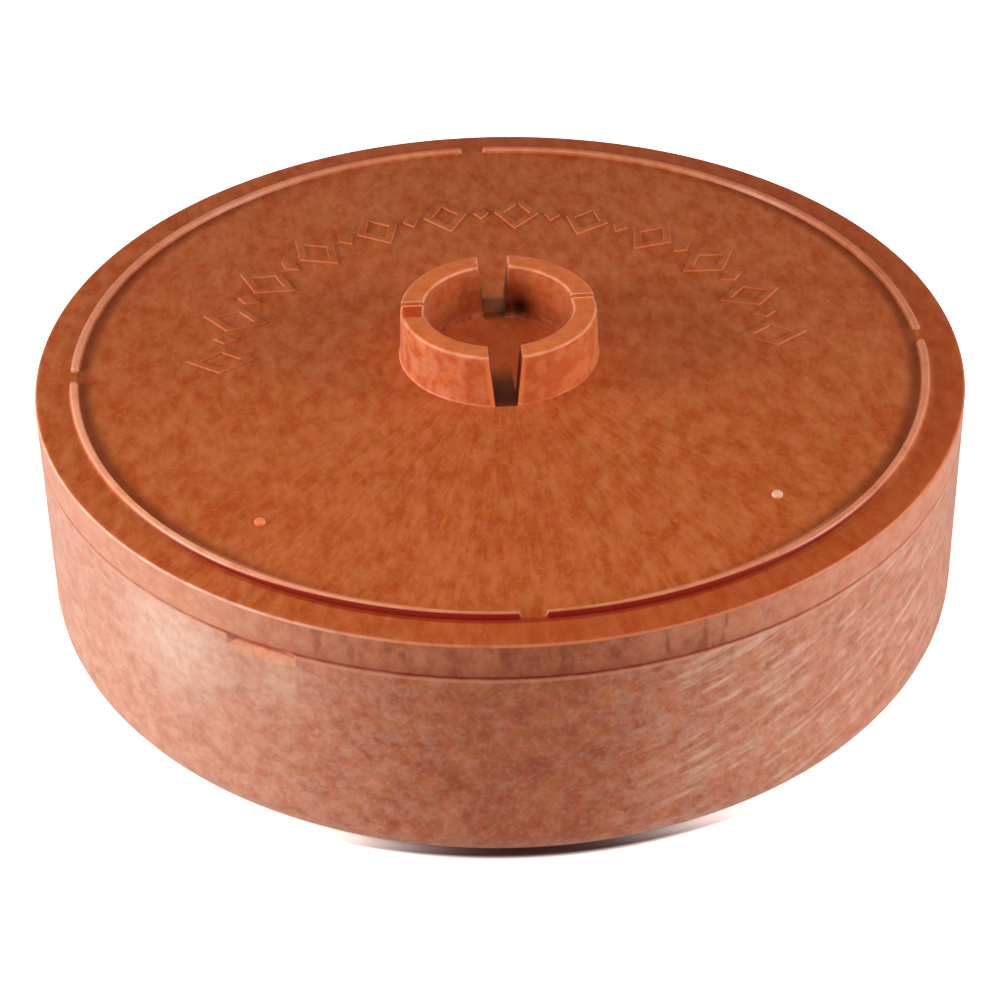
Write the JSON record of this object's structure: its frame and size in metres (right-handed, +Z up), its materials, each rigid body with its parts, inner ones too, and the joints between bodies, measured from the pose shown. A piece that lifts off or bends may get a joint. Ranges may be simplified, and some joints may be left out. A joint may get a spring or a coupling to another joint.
{
  "type": "tortilla warmer",
  "caption": "Low round food container with an upright wall and a lift-off domed lid, which has a split ring to grip in its middle and a broken bead near its rim.",
  "frame": {"origin": "centre of the foot ring, on the surface that the tub stands on", "axes": "+Z up; -Y is the front, which one open slot of the grip ring faces"},
  "size_m": [0.235, 0.235, 0.0823],
  "materials": {
    "tub_plastic": "moulded terracotta plastic with short pale fibres and a soft sheen",
    "lid_plastic": "moulded terracotta plastic with fine fibres and faint flow streaks"
  },
  "bodies": {
    "base": {"base_tub": "tub_plastic"},
    "lid": {"lid": "lid_plastic"}
  },
  "joints": [
    {"name": "lid_lift", "type": "slide", "parent": "base", "child": "lid", "axis": [0, 0, 1], "range_m": [0, 0.13]}
  ]
}
